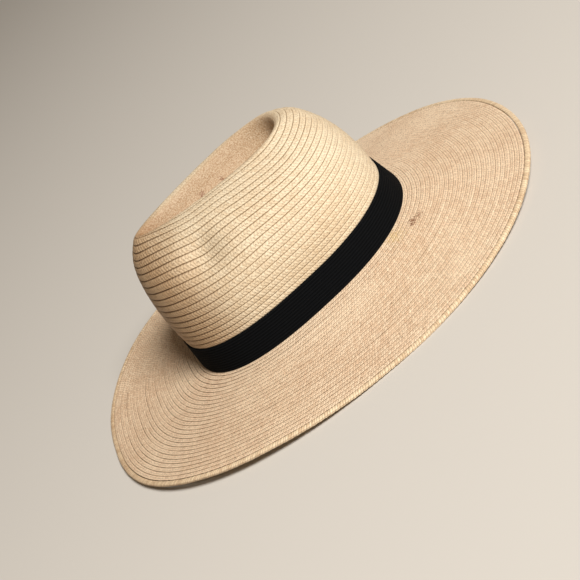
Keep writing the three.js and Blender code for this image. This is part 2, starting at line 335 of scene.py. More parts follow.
def sheet_of_rings(name, rings, rows, arcs, sharp, past_rim=None):
    """Shapes a new grid into rings of points, and closes it where its edges meet.

    The UV map holds the distance along the row, in millimetres, and the row's number, which on the band is
    the height. past_rim is how far each point lies inside the dent, in millimetres, and less than 0 outside.
    """
    clear_selection()
    count, around = rings.shape[:2]
    bpy.ops.mesh.primitive_grid_add(x_subdivisions=around - 1, y_subdivisions=count - 1, size=1)
    piece = bpy.context.active_object
    piece.name = name
    mesh = piece.data
    mesh.name = name
    if len(mesh.vertices) != count * around:
        raise RuntimeError(f"{name}: the grid has {len(mesh.vertices)} points, not {count * around}")
    mesh.vertices.foreach_set("co", (rings * MM).astype(np.float32).ravel())
    corner = np.zeros(len(mesh.loops), np.int32)
    mesh.loops.foreach_get("vertex_index", corner)
    corner = corner.reshape(-1, 4)
    ring, turn = corner // around, corner % around
    row = np.floor(rows[ring].min(axis=1) + 1e-6).astype(int)
    row = np.clip(row, 0, len(arcs) - 1)
    uv = np.stack([arcs[row[:, None], turn], rows[ring]], axis=-1)
    mesh.uv_layers.active.data.foreach_set("uv", uv.astype(np.float32).ravel())
    mesh.uv_layers.active.name = "rows"
    if past_rim is not None:
        depth = mesh.attributes.new("past_rim", "FLOAT", "POINT")
        depth.data.foreach_set("value", past_rim.astype(np.float32).ravel())
    bpy.ops.object.mode_set(mode="EDIT")
    bpy.ops.mesh.select_all(action="SELECT")
    bpy.ops.mesh.remove_doubles(threshold=1e-6)
    bpy.ops.mesh.normals_make_consistent(inside=False)
    bpy.ops.object.mode_set(mode="OBJECT")
    bpy.ops.object.shade_smooth_by_angle(angle=math.radians(sharp))
    return piece


def settle(piece, node, material):
    """Gives a finished piece its material, hides the node of model.glb that it stands for and hangs the piece
    under the root.
    """
    piece.data.materials.clear()
    piece.data.materials.append(material)
    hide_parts(node)
    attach(piece, "root")


def sewn_crown(sizes):
    turn = turns_round(sizes.crown_steps)
    fine = pinched(curve_through(crown_sections(turn), CURVE_STEPS))
    fine[-1, :, 0] = 0
    normal = normals_of(fine)
    normal[-1] = (0, 0, 1)
    normal[0, :, 2] = 0
    normal[0] /= np.linalg.norm(normal[0], axis=-1, keepdims=True)
    step = np.linalg.norm(np.diff(fine, axis=0), axis=-1)
    arc = np.concatenate([np.zeros((1, len(turn))), np.cumsum(step, axis=0)])
    low, high = sizes.crown_low_row / MM, sizes.crown_row / MM
    rim = CURVE_STEPS * (STANDING_SECTIONS + len(WALL_SECTIONS))
    # Rows grow from the low pitch at the band to the high one, and once more towards the rim of the dent
    pitch = low + (high - low) * smooth_step(arc, BAND_HEIGHT, HEAD_WIDTH * 0.45)
    pitch *= 1 + RIM_GROWTH * smooth_step(arc / arc[rim], 0.75, 1)
    counted = np.cumsum(step / ((pitch[1:] + pitch[:-1]) / 2), axis=0)
    counted = np.concatenate([np.zeros((1, len(turn))), counted])
    outside_rows = int(round(counted[rim].mean()))
    dent_rows = int(round((counted[-1] - counted[rim]).mean()))
    count = outside_rows + dent_rows
    # As many rows all round, and at the front tip the last ones pass inside the rim
    at_rim = outside_rows - FRONT_ROWS * smooth_step(np.cos(turn), 0.3, 1)
    even = (at_rim - counted[rim]) * smooth_step(arc / arc[rim], 0.3, 1)
    in_dent = at_rim + (counted - counted[rim]) * (count - at_rim) / (counted[-1] - counted[rim])
    row_at = np.where(np.arange(len(fine))[:, None] <= rim, counted + even, in_dent)

    def on_rows(rows):
        place = np.empty((len(rows), len(turn), 3))
        facing = np.empty_like(place)
        inwards = np.empty(place.shape[:2])
        for i in range(len(turn)):
            inwards[:, i] = np.interp(rows[:, i], row_at[:, i], arc[:, i] - arc[rim, i])
            for axis in range(3):
                place[:, i, axis] = np.interp(rows[:, i], row_at[:, i], fine[:, i, axis])
                facing[:, i, axis] = np.interp(rows[:, i], row_at[:, i], normal[:, i, axis])
        facing /= np.linalg.norm(facing, axis=-1, keepdims=True)
        return place, facing, inwards

    marks = row_marks(count, CROWN_RELIEF["at"])
    ends = smooth_step(marks, 1, 2) * (1 - smooth_step(marks, count - 3, count - 1))
    drift = wander(turn, marks, CROWN_DRIFT) * ends[:, None]
    place, facing, inwards = on_rows(marks[:, None] + drift)
    rise = np.array([*(CROWN_RELIEF["rise"] * count), 0.0]) * sizes.crown_lap / MM
    over_band = smooth_step(place[..., 2], BAND_HEIGHT - 1.5, BAND_HEIGHT + 1.5)
    fade = over_band * (1 - smooth_step(inwards, -5, 2))
    bumpy = 1 + wander(turn, marks, CROWN_BUMPS)
    outside = place + facing * (rise[:, None] * fade * bumpy)[..., None]
    outside[-1] = place[-1]
    whole = np.arange(count + 1.0)
    under, under_facing, under_inwards = on_rows(np.repeat(whole[:, None], len(turn), axis=1))
    inside = under - under_facing * CROWN_WALL
    rings = leaned(np.concatenate([inside[::-1], outside]))
    rows = np.concatenate([whole[::-1], marks])
    middle, _, _ = on_rows(np.repeat(whole[:-1, None] + 0.5, len(turn), axis=1))
    past_rim = np.concatenate([under_inwards[::-1], inwards])
    return sheet_of_rings("crown_braid", rings, rows, arc_from_front(middle), 38, past_rim)


def sewn_brim(sizes):
    turn = turns_round(sizes.brim_steps)
    reach = brim_reach(turn) - EDGE_WIDTH - GAP
    pitch = sizes.brim_row / MM
    count = int(round(reach.mean() / pitch))
    share_fine = np.linspace(0, 1, 400)[:, None]
    row_fine = share_fine * reach / pitch + (count - reach / pitch) * smooth_step(share_fine, 0.5, 1)

    def out_at(rows):
        columns = [
            np.interp(rows[:, i], row_fine[:, i], share_fine[:, 0] * reach[i]) for i in range(len(turn))
        ]
        return np.stack(columns, axis=1)

    def ripple_at(rows):
        return wander(turn, np.zeros_like(rows), BRIM_RIPPLE) * smooth_step(rows, 2, count)[:, None]

    marks = row_marks(count, BRIM_RELIEF["at"])
    ends = smooth_step(marks, 0, 1) * (1 - smooth_step(marks, count - 1, count))
    drift = wander(turn, marks, BRIM_DRIFT) * ends[:, None]
    rise = np.array([*(BRIM_RELIEF["rise"] * count), 0.0]) * sizes.brim_lap / MM
    bumpy = 1 + wander(turn, marks, BRIM_BUMPS)
    out = out_at(marks[:, None] + drift)
    whole_turn = np.broadcast_to(turn, out.shape)
    lift = (rise * ends)[:, None] * bumpy + ripple_at(marks) * ends[:, None]
    top = brim_point(whole_turn, out, BRIM_WALL / 2 + lift)
    low_marks = row_marks(count, UNDER_RELIEF["at"])[::-1]
    low_ends = smooth_step(low_marks, 0, 1) * (1 - smooth_step(low_marks, count - 1, count))
    low_rise = np.array([*(UNDER_RELIEF["rise"] * count), 0.0])[::-1] * sizes.brim_lap / MM
    low_out = out_at(np.repeat(low_marks[:, None], len(turn), axis=1))
    low_lift = (low_rise * low_ends)[:, None] + ripple_at(low_marks) * low_ends[:, None]
    under = brim_point(np.broadcast_to(turn, low_out.shape), low_out, low_lift - BRIM_WALL / 2)
    collar_top = leaned(standing_point(turn, 0, COLLAR_HEIGHT))
    foot = leaned(standing_point(turn, -BRIM_WALL, -BRIM_WALL))
    collar_inside = leaned(standing_point(turn, -BRIM_WALL, COLLAR_HEIGHT))
    rings = np.concatenate(
        [collar_top[None], top, under[:-1], foot[None], collar_inside[None], collar_top[None]]
    )
    rows = np.concatenate([[0], marks, low_marks[:-1], [0, 0, 0]])
    middle = out_at(np.repeat(np.arange(count)[:, None] + 0.5, len(turn), axis=1))
    centre = brim_point(np.broadcast_to(turn, middle.shape), middle, 0)
    return sheet_of_rings("brim_braid", rings, rows, arc_from_front(centre), 32)


def edge_braid(sizes):
    turn = turns_round(sizes.edge_steps)
    spots = 20
    roundness = 0.75  # of the section: 1 is an ellipse, less is squarer
    rings = []
    middle = brim_point(turn, brim_reach(turn) - EDGE_WIDTH / 2, 0)
    arc = arc_from_front(middle[None])
    for k in range(spots + 1):
        a = 2 * math.pi * k / spots
        across = signed_power(math.cos(a), roundness)
        height = signed_power(math.sin(a), roundness)
        plait = np.sin(2 * math.pi * arc[0] / (2 * sizes.edge_plait / MM) + 1.3 * across)
        plump = 1 + 0.06 * plait + wander(turn, np.zeros(1), EDGE_BUMPS)[0]
        out = brim_reach(turn) - EDGE_WIDTH / 2 + EDGE_WIDTH / 2 * across * np.where(across > 0, plump, 1)
        rings.append(brim_point(turn, out, EDGE_WALL / 2 * height * plump))
    rings = np.array(rings)
    rows = np.arange(spots + 1) / spots
    return sheet_of_rings("edge_braid", rings, rows, arc, 70)


def ribbed_band(sizes):
    turn = turns_round(sizes.band_steps)
    ribs = sizes.band_ribs
    depth = sizes.rib_depth / MM
    outer_steps = ribs * 6
    inner_steps = 4
    height, offset = [], []
    for k in range(outer_steps + 1):
        share = k / outer_steps
        height.append(GAP + BAND_HEIGHT * share)
        offset.append(GAP + BAND_WALL - depth * abs(math.cos(math.pi * share * ribs)) ** 2)
    for k in range(inner_steps + 1):
        height.append(GAP + BAND_HEIGHT * (1 - k / inner_steps))
        offset.append(GAP)
    height.append(height[0])
    offset.append(offset[0])
    slack = wander(turn, np.zeros(1), BAND_SLACK)[0] - SLACK_INWARDS
    rings = []
    for h, o in zip(height, offset):
        rings.append(leaned(standing_point(turn, o + (slack if o > GAP else 0), h)))
    rings = np.array(rings)
    rows = np.array(height)
    arcs = np.repeat(arc_from_front(rings[:1]), int(BAND_HEIGHT) + 2, axis=0)
    return sheet_of_rings("elastic_band", rings, rows, arcs, 60)


# Shader graphs
def wire(tree, kind, values=None, **settings):
    """Adds a node, with its settings, and sets or links its inputs by name or number."""
    node = tree.nodes.new(kind)
    for key, value in settings.items():
        setattr(node, key, value)
    for key, value in (values or {}).items():
        socket = node.inputs[key]
        if isinstance(value, bpy.types.NodeSocket):
            tree.links.new(value, socket)
        else:
            socket.default_value = value
    return node


def maths(tree, operation, a, b=None, c=None):
    values = {0: a}
    if b is not None:
        values[1] = b
    if c is not None:
        values[2] = c
    return wire(tree, "ShaderNodeMath", values, operation=operation).outputs[0]


def ramped(tree, value, low, high, to_low=0.0, to_high=1.0):
    values = {"Value": value, "From Min": low, "From Max": high, "To Min": to_low, "To Max": to_high}
    return wire(tree, "ShaderNodeMapRange", values, interpolation_type="SMOOTHSTEP").outputs["Result"]


def blended(tree, share, a, b, way="MIX"):
    node = wire(tree, "ShaderNodeMix", data_type="RGBA", blend_type=way)
    for socket, value in ((node.inputs[0], share), (node.inputs[6], a), (node.inputs[7], b)):
        if isinstance(value, bpy.types.NodeSocket):
            tree.links.new(value, socket)
        else:
            socket.default_value = value
    return node.outputs[2]


def noise(tree, place, scale, detail, dimensions="3D"):
    values = {"Vector": place, "Scale": scale, "Detail": detail}
    return wire(tree, "ShaderNodeTexNoise", values, noise_dimensions=dimensions).outputs[0]


def random_of(tree, x, y):
    """A random value for each pair of whole numbers."""
    pair = wire(tree, "ShaderNodeCombineXYZ", {"X": x, "Y": y}).outputs[0]
    return wire(tree, "ShaderNodeTexWhiteNoise", {"Vector": pair}, noise_dimensions="2D").outputs["Value"]


def new_group(name, inputs, outputs):
    tree = bpy.data.node_groups.new(name, "ShaderNodeTree")
    for label, kind, default in inputs:
        socket = tree.interface.new_socket(label, in_out="INPUT", socket_type=kind)
        if default is not None:
            socket.default_value = default
    for label, kind in outputs:
        tree.interface.new_socket(label, in_out="OUTPUT", socket_type=kind)
    start = tree.nodes.new("NodeGroupInput")
    end = tree.nodes.new("NodeGroupOutput")
    return tree, start.outputs, end.inputs


def plait_group():
    """Rows of plaited straw: relief, the line under each lap, furrows between strands, holes and tints."""
    tree, given, made = new_group(
        "Plaited rows",
        [
            ("Along", "NodeSocketFloat", 0.0),
            ("Row", "NodeSocketFloat", 0.0),
            ("Plait length", "NodeSocketFloat", 1.6),
            ("Slant", "NodeSocketFloat", 1.2),
            ("Lap width", "NodeSocketFloat", 0.15),
            ("Lap breaks", "NodeSocketFloat", 0.5),
            ("Middle line", "NodeSocketFloat", 0.0),
        ],
        [
            ("Height", "NodeSocketFloat"),
            ("Lap", "NodeSocketFloat"),
            ("Furrow", "NodeSocketFloat"),
            ("Hole", "NodeSocketFloat"),
            ("Strand", "NodeSocketFloat"),
        ],
    )
    row = maths(tree, "FLOOR", given["Row"])
    inside = maths(tree, "SUBTRACT", given["Row"], row)
    row_random = wire(tree, "ShaderNodeTexWhiteNoise", {"W": row}, noise_dimensions="1D").outputs["Value"]
    # Strands lie aslant and turn back near the top of each row
    bend = maths(tree, "ABSOLUTE", maths(tree, "SUBTRACT", inside, 0.72))
    phase = maths(tree, "DIVIDE", given["Along"], given["Plait length"])
    drift = wire(tree, "ShaderNodeCombineXYZ", {"X": phase, "Y": maths(tree, "MULTIPLY", row, 3.7)})
    jitter = noise(tree, drift.outputs[0], 0.5, 1.0, "2D")
    phase = maths(tree, "MULTIPLY_ADD", bend, given["Slant"], phase)
    phase = maths(tree, "MULTIPLY_ADD", row_random, 7.0, phase)
    phase = maths(tree, "MULTIPLY_ADD", jitter, 0.9, phase)
    strand = maths(tree, "FLOOR", phase)
    part = maths(tree, "SUBTRACT", phase, strand)
    edge = maths(tree, "ABSOLUTE", maths(tree, "MULTIPLY_ADD", part, 2.0, -1.0))
    furrow = ramped(tree, edge, 0.62, 1.0)
    swell = maths(tree, "SUBTRACT", 1.0, maths(tree, "MULTIPLY", edge, edge))
    cushion = maths(tree, "MULTIPLY", inside, maths(tree, "SUBTRACT", 1.0, inside))
    cushion = maths(tree, "MULTIPLY", cushion, 1.6)
    tint = random_of(tree, strand, row)
    # Small holes, two to a strand, some of them faint
    half = maths(tree, "MULTIPLY", phase, 2.0)
    cell = maths(tree, "FLOOR", half)
    chance = random_of(tree, cell, row)
    place = maths(tree, "SUBTRACT", inside, maths(tree, "MULTIPLY_ADD", chance, 0.36, 0.26))
    across = maths(tree, "MULTIPLY", place, 6.0)
    off_centre = maths(tree, "MULTIPLY_ADD", maths(tree, "SUBTRACT", half, cell), 2.0, -1.0)
    along = maths(tree, "MULTIPLY", off_centre, 1.4)
    far = maths(tree, "MULTIPLY_ADD", across, across, maths(tree, "MULTIPLY", along, along))
    near = ramped(tree, maths(tree, "SQRT", far), 0.3, 0.8, 1.0, 0.0)
    hole = maths(tree, "MULTIPLY", near, ramped(tree, chance, 0.15, 0.5, 0.35, 1.0))
    # Dark lines at the lap and in the middle of the row, broken here and there. The line at the lap is
    # painted shadow in the gap under it.
    upper = maths(tree, "SUBTRACT", 1.0, given["Lap width"])
    above = ramped(tree, inside, upper, 1.0)
    below = ramped(tree, inside, 0.0, 0.07, 1.0, 0.0)
    off_middle = maths(tree, "ABSOLUTE", maths(tree, "SUBTRACT", inside, 0.45))
    middle = ramped(tree, off_middle, 0.04, 0.16, 1.0, 0.0)
    middle = maths(tree, "MULTIPLY", middle, given["Middle line"])
    line = maths(tree, "MAXIMUM", above, below)
    half_rows = maths(tree, "ROUND", maths(tree, "MULTIPLY", given["Row"], 2.0))
    lap_row = maths(tree, "MULTIPLY", half_rows, 5.3)
    lap_along = maths(tree, "MULTIPLY", given["Along"], 0.6)
    spot = wire(tree, "ShaderNodeCombineXYZ", {"X": lap_along, "Y": lap_row}).outputs[0]
    gaps = ramped(tree, noise(tree, spot, 1.0, 3.0, "2D"), 0.4, 0.58)
    unbroken = maths(tree, "SUBTRACT", 1.0, given["Lap breaks"])
    kept = maths(tree, "MULTIPLY_ADD", gaps, given["Lap breaks"], unbroken)
    line = maths(tree, "MAXIMUM", line, middle)
    lap = maths(tree, "MULTIPLY", line, kept)
    height = maths(tree, "MULTIPLY_ADD", swell, 0.6, cushion)
    height = maths(tree, "MULTIPLY_ADD", hole, -0.6, height)
    height = maths(tree, "MULTIPLY_ADD", line, -0.5, height)
    results = {"Height": height, "Lap": lap, "Furrow": furrow, "Hole": hole, "Strand": tint}
    for label, value in results.items():
        tree.links.new(value, made[label])
    return tree


def straw_group():
    """Colour of dry straw, from its masks, with slow mottling and fine flecks."""
    tree, given, made = new_group(
        "Straw colour",
        [
            ("Straw", "NodeSocketColor", None),
            ("Pale", "NodeSocketColor", None),
            ("Shade", "NodeSocketColor", None),
            ("Lap", "NodeSocketFloat", 0.0),
            ("Furrow", "NodeSocketFloat", 0.0),
            ("Hole", "NodeSocketFloat", 0.0),
            ("Strand", "NodeSocketFloat", 0.5),
            ("Lap strength", "NodeSocketFloat", 0.7),
            ("Furrow strength", "NodeSocketFloat", 0.3),
            ("Hole strength", "NodeSocketFloat", 0.4),
            ("Flecks", "NodeSocketFloat", 0.5),
        ],
        [("Color", "NodeSocketColor"), ("Roughness", "NodeSocketFloat")],
    )
    place = wire(tree, "ShaderNodeTexCoord").outputs["Object"]
    slow = noise(tree, place, 16.0, 2.0)
    fine = noise(tree, place, 700.0, 2.0)
    mix = maths(tree, "MULTIPLY_ADD", given["Strand"], 0.28, maths(tree, "MULTIPLY", slow, 0.5))
    mix = maths(tree, "MULTIPLY_ADD", fine, 0.5, mix)
    color = blended(tree, ramped(tree, mix, 0.35, 0.85), given["Straw"], given["Pale"])
    for mask in ("Furrow", "Hole", "Lap"):
        share = maths(tree, "MULTIPLY", given[mask], given[f"{mask} strength"])
        color = blended(tree, share, color, given["Shade"])
    specks = noise(tree, place, 520.0, 1.0)
    speck = maths(tree, "MULTIPLY", ramped(tree, specks, 0.7, 0.76), given["Flecks"])
    color = blended(tree, speck, color, given["Shade"])
    tree.links.new(color, made["Color"])
    tree.links.new(ramped(tree, fine, 0.3, 0.7, 0.5, 0.68), made["Roughness"])
    return tree


def shared_group(name, make):
    return bpy.data.node_groups.get(name) or make()


def rgba(color):
    return (*color, 1.0)


def new_material(name):
    material = bpy.data.materials.new(name)
    material.use_nodes = True
    tree = material.node_tree
    return material, tree, tree.nodes["Principled BSDF"]


def stained(tree, color, place, stains):
    """The colour with small, frayed stains on it."""
    frayed = noise(tree, place, 800.0, 2.0)
    for stain in stains:
        values = {0: place, 1: stain["place"]}
        far = wire(tree, "ShaderNodeVectorMath", values, operation="DISTANCE").outputs["Value"]
        far = maths(tree, "MULTIPLY_ADD", frayed, stain["radius"] * 5, far)
        mask = ramped(tree, far, stain["radius"] * 2.7, stain["radius"] * 3.7, stain["strength"], 0.0)
        color = blended(tree, mask, color, rgba(stain["color"]))
    return color


def straw_material(name, look):
    """Straw with its rows on the piece's own UV map. look is a dict of the values that differ."""
    material, tree, shader = new_material(name)
    uv = wire(tree, "ShaderNodeUVMap", uv_map="rows").outputs[0]
    split = wire(tree, "ShaderNodeSeparateXYZ", {0: uv}).outputs
    row = split["Y"]
    sewn = 1.0  # falls to 0 inside the dent, where the straw is rubbed flat
    if look["dent"]:
        past_rim = wire(tree, "ShaderNodeAttribute", attribute_name="past_rim").outputs["Fac"]
        sewn = ramped(tree, past_rim, -5.0, 3.0, 1.0, 0.0)
    by_band = ramped(tree, row, 2.0, 6.0, look["Laps by the band"], 0.0)
    if look["outwards"]:
        row = maths(tree, "SUBTRACT", HIGHEST_ROW, row)
    place = wire(tree, "ShaderNodeTexCoord").outputs["Object"]
    # Mask of the front, which faces away from the key light. It paints shade there: darker and wider lap
    # lines, stronger furrows and a darker tint. It also thins out the middle line there.
    ahead = wire(tree, "ShaderNodeSeparateXYZ", {0: place}).outputs["Y"]
    front = ramped(tree, ahead, *look["Shaded front range"], 1.0, 0.0)
    rows = wire(tree, "ShaderNodeGroup", node_tree=shared_group("Plaited rows", plait_group))
    for label in ("Plait length", "Slant", "Lap breaks"):
        rows.inputs[label].default_value = look[label]
    middle = look["Middle line"]
    tree.links.new(maths(tree, "MULTIPLY_ADD", front, -middle, middle), rows.inputs["Middle line"])
    width = maths(tree, "MULTIPLY_ADD", front, look["Front lap shadow width"], look["Lap width"])
    tree.links.new(width, rows.inputs["Lap width"])
    tree.links.new(split["X"], rows.inputs["Along"])
    tree.links.new(row, rows.inputs["Row"])
    tone = wire(tree, "ShaderNodeGroup", node_tree=shared_group("Straw colour", straw_group))
    for label in ("Straw", "Pale", "Shade"):
        tone.inputs[label].default_value = rgba(look[label])
    tone.inputs["Flecks"].default_value = look["Flecks"]
    for label in ("Lap", "Furrow", "Hole"):
        tree.links.new(rows.outputs[label], tone.inputs[label])
    mottling = look["Mottling"]
    mottled = ramped(tree, rows.outputs["Strand"], 0.0, 1.0, 0.5 - mottling, 0.5 + mottling)
    tree.links.new(mottled, tone.inputs["Strand"])
    # Lap lines are painted shadow, darker on the shaded front
    laps = maths(tree, "MULTIPLY_ADD", front, look["Front lap shadow"], look["Lap strength"])
    laps = maths(tree, "MULTIPLY_ADD", sewn, laps, by_band)
    tree.links.new(laps, tone.inputs["Lap strength"])
    furrows = maths(tree, "MULTIPLY_ADD", front, look["Front furrow shade"], look["Furrow strength"])
    tree.links.new(maths(tree, "MULTIPLY", sewn, furrows), tone.inputs["Furrow strength"])
    holes = maths(tree, "MULTIPLY", sewn, look["Hole strength"])
    tree.links.new(holes, tone.inputs["Hole strength"])
    color = tone.outputs["Color"]
    felt = noise(tree, place, 1100.0, 2.0)
    # Inside the dent a darker colour is mottled in: painted shade for the hollow of the dent
    if look["dent"]:
        dent_shade_share = ramped(tree, felt, 0.38, 0.62, 0.5, 1.0)
        color = blended(tree, sewn, blended(tree, dent_shade_share, color, rgba(look["dent"])), color)
    # Painted shade: the front, away from the key light, is tinted darker and browner
    front_shade_share = maths(tree, "MULTIPLY", front, look["Front painted shade"])
    color = blended(tree, front_shade_share, color, rgba(FRONT_SHADE_TINT), "MULTIPLY")
    tree.links.new(stained(tree, color, place, look["stains"]), shader.inputs["Base Color"])
    tree.links.new(tone.outputs["Roughness"], shader.inputs["Roughness"])
    shader.inputs["Specular IOR Level"].default_value = look["gloss"]
    raised = maths(tree, "MULTIPLY_ADD", sewn, 0.75, 0.25)
    height = maths(tree, "MULTIPLY_ADD", rows.outputs["Height"], raised, felt)
    values = {"Height": height, "Strength": look["bump"], "Distance": look["relief"]}
    bump = wire(tree, "ShaderNodeBump", values)
    tree.links.new(bump.outputs[0], shader.inputs["Normal"])
    return material


def elastic_material(name, color, ribs):
    """Knitted elastic, with a painted highlight on the crests of its ribs."""
    material, tree, shader = new_material(name)
    uv = wire(tree, "ShaderNodeUVMap", uv_map="rows").outputs[0]
    split = wire(tree, "ShaderNodeSeparateXYZ", {0: uv}).outputs
    thread = maths(tree, "SINE", maths(tree, "MULTIPLY", split["X"], 2 * math.pi / THREAD_PITCH))
    weft = maths(tree, "SINE", maths(tree, "MULTIPLY", split["Y"], 2 * math.pi / WEFT_PITCH))
    weave = maths(tree, "MULTIPLY_ADD", weft, 0.4, thread)
    place = wire(tree, "ShaderNodeTexCoord").outputs["Object"]
    worn = ramped(tree, noise(tree, place, 900.0, 2.0), 0.6, 0.75, 0.0, 0.6)
    # Painted highlight on the crests of the ribs, black in the grooves between them
    per_height = math.pi * ribs / BAND_HEIGHT
    crest_highlight = maths(tree, "SINE", maths(tree, "MULTIPLY_ADD", split["Y"], per_height, -per_height * GAP))
    crest_highlight = maths(tree, "MULTIPLY", crest_highlight, crest_highlight)
    mix = maths(tree, "MULTIPLY", ramped(tree, weave, -1.4, 1.4, 0.1, 1.0), crest_highlight)
    pale = tuple(min(1.0, c * 2.0 + 0.004) for c in color)
    tone = blended(tree, maths(tree, "ADD", mix, worn), rgba(color), rgba(pale))
    tree.links.new(tone, shader.inputs["Base Color"])
    shader.inputs["Roughness"].default_value = 0.85
    shader.inputs["Specular IOR Level"].default_value = 0.06
    bump = wire(tree, "ShaderNodeBump", {"Height": weave, "Strength": 0.5, "Distance": 0.00015})
    tree.links.new(bump.outputs[0], shader.inputs["Normal"])
    return material


def floor_material(color):
    material, tree, shader = new_material("pale_floor")
    shader.inputs["Base Color"].default_value = rgba(color)
    shader.inputs["Roughness"].default_value = 0.9
    return material


# Settings that a user would change
class HatSizes(bpy.types.PropertyGroup):
    crown_row: bpy.props.FloatProperty(
        name="Crown row",
        description="Pitch of the crown's upper rows of braid",
        default=0.0047,
        unit="LENGTH",
    )
    crown_low_row: bpy.props.FloatProperty(
        name="Low crown row",
        description="Pitch of the crown's rows next to the band",
        default=0.004,
        unit="LENGTH",
    )
    crown_lap: bpy.props.FloatProperty(
        name="Crown lap",
        description="Step where one crown row laps over the next",
        default=0.00065,
        unit="LENGTH",
    )
    brim_row: bpy.props.FloatProperty(
        name="Brim row",
        description="Pitch of the brim's braid rows",
        default=0.0035,
        unit="LENGTH",
    )
    brim_lap: bpy.props.FloatProperty(
        name="Brim lap",
        description="Step where one brim row laps over the next",
        default=0.0003,
        unit="LENGTH",
    )
    edge_plait: bpy.props.FloatProperty(
        name="Edge plait",
        description="Length of one plait of the edge braid",
        default=0.0022,
        unit="LENGTH",
    )
    band_ribs: bpy.props.IntProperty(
        name="Band ribs",
        description="Ribs across the band's height",
        default=11,
    )
    rib_depth: bpy.props.FloatProperty(
        name="Rib depth",
        description="Depth between two ribs of the band",
        default=0.00035,
        unit="LENGTH",
    )
    crown_steps: bpy.props.IntProperty(
        name="Crown steps",
        description="Steps round the crown",
        default=400,
    )
    brim_steps: bpy.props.IntProperty(
        name="Brim steps",
        description="Steps round the brim",
        default=480,
    )
    edge_steps: bpy.props.IntProperty(
        name="Edge steps",
        description="Steps round the edge braid",
        default=960,
    )
    band_steps: bpy.props.IntProperty(
        name="Band steps",
        description="Steps round the band",
        default=360,
    )


class HatColours(bpy.types.PropertyGroup):
    crown_straw: bpy.props.FloatVectorProperty(
        name="Crown straw",
        description="Darker straw of the crown",
        subtype="COLOR",
        default=(0.64, 0.485, 0.31),
    )
    crown_pale: bpy.props.FloatVectorProperty(
        name="Crown pale straw",
        description="Paler straw of the crown",
        subtype="COLOR",
        default=(0.785, 0.665, 0.485),
    )
    # The straw inside the dent is smooth, and this colour is painted darker for the shade in the dent
    dent: bpy.props.FloatVectorProperty(
        name="Dent",
        description="Rubbed straw inside the crown's dent",
        subtype="COLOR",
        default=(0.4, 0.255, 0.144),
    )
    brim_straw: bpy.props.FloatVectorProperty(
        name="Brim straw",
        description="Darker straw of the brim",
        subtype="COLOR",
        default=(0.72, 0.5, 0.33),
    )
    brim_pale: bpy.props.FloatVectorProperty(
        name="Brim pale straw",
        description="Paler straw of the brim",
        subtype="COLOR",
        default=(0.91, 0.72, 0.52),
    )
    edge_straw: bpy.props.FloatVectorProperty(
        name="Edge straw",
        description="Darker straw of the edge braid",
        subtype="COLOR",
        default=(0.62, 0.43, 0.26),
    )
    edge_pale: bpy.props.FloatVectorProperty(
        name="Edge pale straw",
        description="Paler straw of the edge braid",
        subtype="COLOR",
        default=(0.85, 0.68, 0.47),
    )
    shade: bpy.props.FloatVectorProperty(
        name="Shade",
        description="Colour down in the laps and furrows",
        subtype="COLOR",
        default=(0.13, 0.06, 0.022),
    )
    band: bpy.props.FloatVectorProperty(
        name="Band",
        description="Colour of the elastic band",
        subtype="COLOR",
        default=(0.0016, 0.002, 0.0026),
    )
    floor: bpy.props.FloatVectorProperty(
        name="Floor",
        description="Colour of the floor",
        subtype="COLOR",
        default=(0.62, 0.59, 0.55),
    )


class HatStage(bpy.types.PropertyGroup):
    camera_place: bpy.props.FloatVectorProperty(
        name="Camera",
        description="Place of the camera",
        subtype="TRANSLATION",
        default=(0.9576, 0.0196, 0.4425),
    )
    camera_target: bpy.props.FloatVectorProperty(
        name="Target",
        description="Point that the camera looks at",
        subtype="TRANSLATION",
        default=(0.0, -0.0159, 0.0084),
    )
    camera_roll: bpy.props.FloatProperty(
        name="Roll",
        description="Turn of the camera about its view",
        subtype="ANGLE",
        default=math.radians(41.46),
    )
    camera_lens: bpy.props.FloatProperty(
        name="Lens",
        description="Focal length on a 36 mm sensor, in millimetres",
        default=87.15,
    )
    key_power: bpy.props.FloatProperty(
        name="Key power",
        description="Power of the main light, in watts",
        default=204.0,
    )
    key_place: bpy.props.FloatVectorProperty(
        name="Key",
        description="Place of the main light",
        subtype="TRANSLATION",
        default=(2.3, 1.36, 2.8),
    )
    sky: bpy.props.FloatProperty(
        name="Sky",
        description="Strength of the soft light all round",
        default=0.13,
    )


# Looks of the three straws. Plait length is in millimetres, Lap width is a share of a row, the range of the
# shaded front and relief are in metres, and the rest are shares and strengths. The keys for the front paint
# shade there: darker, wider lap lines, stronger furrows and a darker tint.
CROWN_LOOK = {
    "outwards": False,
    "Plait length": 2.7,
    "Slant": -1.3,
    "Lap width": 0.125,
    "Lap breaks": 0.3,
    "Middle line": 0.0,
    "Lap strength": 0.68,
    "Laps by the band": 0.0,
    "Furrow strength": 0.25,
    "Hole strength": 0.55,
    "Flecks": 0.3,
    "Shaded front range": (-0.085, -0.035),
    "Front lap shadow": 0.3,
    "Front lap shadow width": 0.09,
    "Front furrow shade": 0.3,
    "Mottling": 0.2,
    "Front painted shade": 1.0,
    "bump": 0.7,
    "relief": 0.0005,
    "gloss": 0.4,
}
BRIM_LOOK = {
    "outwards": True,
    "Plait length": 2.3,
    "Slant": 1.0,
    "Lap width": 0.15,
    "Lap breaks": 0.75,
    "Middle line": 0.15,
    "Lap strength": 0.64,
    "Laps by the band": 0.3,
    "Furrow strength": 0.3,
    "Hole strength": 0.85,
    "Flecks": 0.5,
    "Shaded front range": (-0.1, 0.05),
    "Front lap shadow": 0.22,
    "Front lap shadow width": 0.03,
    "Front furrow shade": 0.1,
    "Mottling": 0.3,
    "Front painted shade": 0.12,
    "bump": 0.9,
    "relief": 0.0004,
    "gloss": 0.25,
}
